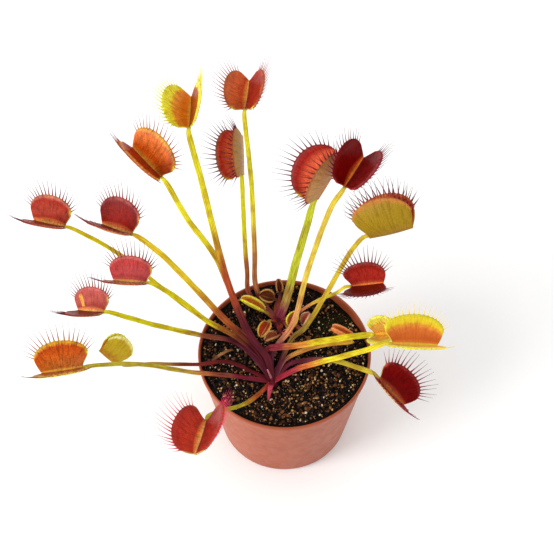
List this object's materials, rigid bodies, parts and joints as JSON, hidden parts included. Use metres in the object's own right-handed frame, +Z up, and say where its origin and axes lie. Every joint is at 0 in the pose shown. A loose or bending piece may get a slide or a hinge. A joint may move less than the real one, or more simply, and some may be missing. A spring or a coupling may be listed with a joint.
{
  "type": "potted venus flytrap",
  "caption": "Venus flytrap in a small round tapered nursery pot: fringed two-lobed snap traps on long arching stalks from two crowns in dark gritty soil.",
  "frame": {"origin": "centre of the pot's underside", "axes": "+Z up; +Y to the back of the plant and +X to its right, seen from the front"},
  "size_m": [0.2224, 0.1888, 0.1855],
  "materials": {
    "pot_plastic": "satin moulded plastic, terracotta coloured",
    "soil": "dark damp peat with pale quartz and perlite grains",
    "crown": "smooth maroon leaf bases",
    "petiole": "smooth leaf stalk, yellow-green at the trap to maroon at the crown",
    "withered": "dry tan plant fibre",
    "trap": "smooth moist leaf, red inside and olive outside",
    "young_trap": "smooth moist young leaf, yellow-green",
    "small_trap": "smooth to dry small leaf, tan to pink"
  },
  "bodies": {
    "root": {"pot": "pot_plastic", "soil": "soil", "main_crown": "crown", "second_crown": "crown", "withered_petiole": "withered", "petiole_1": "petiole", "petiole_2": "petiole", "petiole_3": "petiole", "petiole_4": "petiole", "petiole_5": "petiole", "petiole_6": "petiole", "petiole_7": "petiole", "petiole_8": "petiole", "petiole_9": "petiole", "petiole_10": "petiole", "petiole_11": "petiole", "petiole_12": "petiole", "petiole_13": "petiole", "petiole_14": "petiole", "petiole_15": "petiole", "petiole_16": "petiole", "petiole_17": "petiole", "petiole_18": "petiole", "petiole_19": "petiole", "trap_1": "trap", "trap_2": "trap", "trap_3": "trap", "trap_4": "trap", "trap_5": "trap", "trap_6": "young_trap", "trap_7": "trap", "trap_8": "trap", "trap_9": "trap", "trap_10": "trap", "trap_11": "trap", "trap_12": "trap", "trap_13": "young_trap", "trap_14": "trap", "trap_15": "young_trap", "trap_16": "trap", "trap_17": "trap", "trap_18": "trap", "trap_19": "trap", "small_trap_1": "small_trap", "small_trap_2": "small_trap", "small_trap_3": "small_trap", "small_trap_4": "small_trap", "small_trap_5": "small_trap", "small_trap_6": "small_trap", "small_trap_7": "small_trap", "small_trap_8": "small_trap"}
  },
  "joints": []
}
